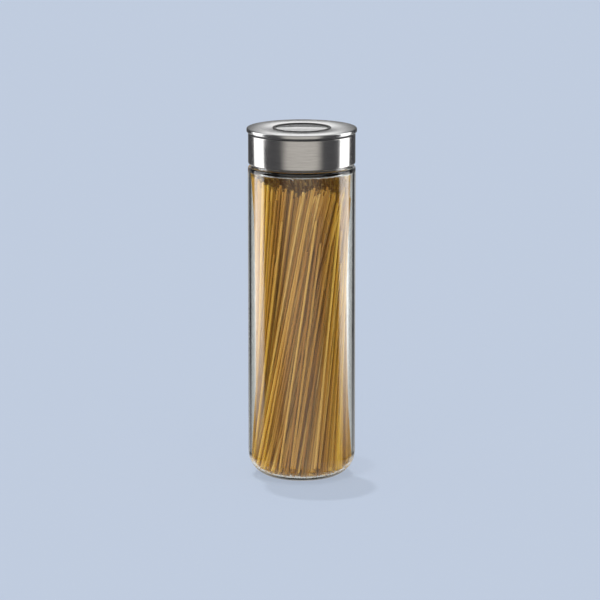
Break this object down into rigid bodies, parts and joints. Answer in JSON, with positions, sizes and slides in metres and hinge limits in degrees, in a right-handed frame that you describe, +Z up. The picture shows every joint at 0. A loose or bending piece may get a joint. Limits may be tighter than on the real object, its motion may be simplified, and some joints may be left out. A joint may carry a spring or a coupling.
{
  "type": "lidded glass canister",
  "caption": "Tall round glass storage canister with a push-on brushed steel lid that has a round window and a silicone seal.",
  "frame": {"origin": "middle of the base, on the surface that the jar stands on", "axes": "+Z up along the axis of the jar, out of its mouth"},
  "size_m": [0.0974, 0.0974, 0.3133],
  "materials": {
    "clear_glass": "clear, polished",
    "brushed_steel": "brushed round the axis",
    "satin_steel": "satin, spun round the axis",
    "window_glass": "clear, polished",
    "black_rubber": "matt",
    "dark_plastic": "moulded, fine matt",
    "silicone": "translucent silicone, matt"
  },
  "bodies": {
    "jar": {"glass_jar": "clear_glass"},
    "lid": {"lid_skirt": "brushed_steel", "lid_top_plate": "satin_steel", "window_lens": "window_glass", "window_gasket": "black_rubber", "window_retainer": "dark_plastic", "lid_liner": "dark_plastic", "seal_ring": "silicone"}
  },
  "joints": [
    {"name": "lid_lift", "type": "slide", "parent": "jar", "child": "lid", "axis": [0, 0, 1], "range_m": [0, 0.08]}
  ]
}
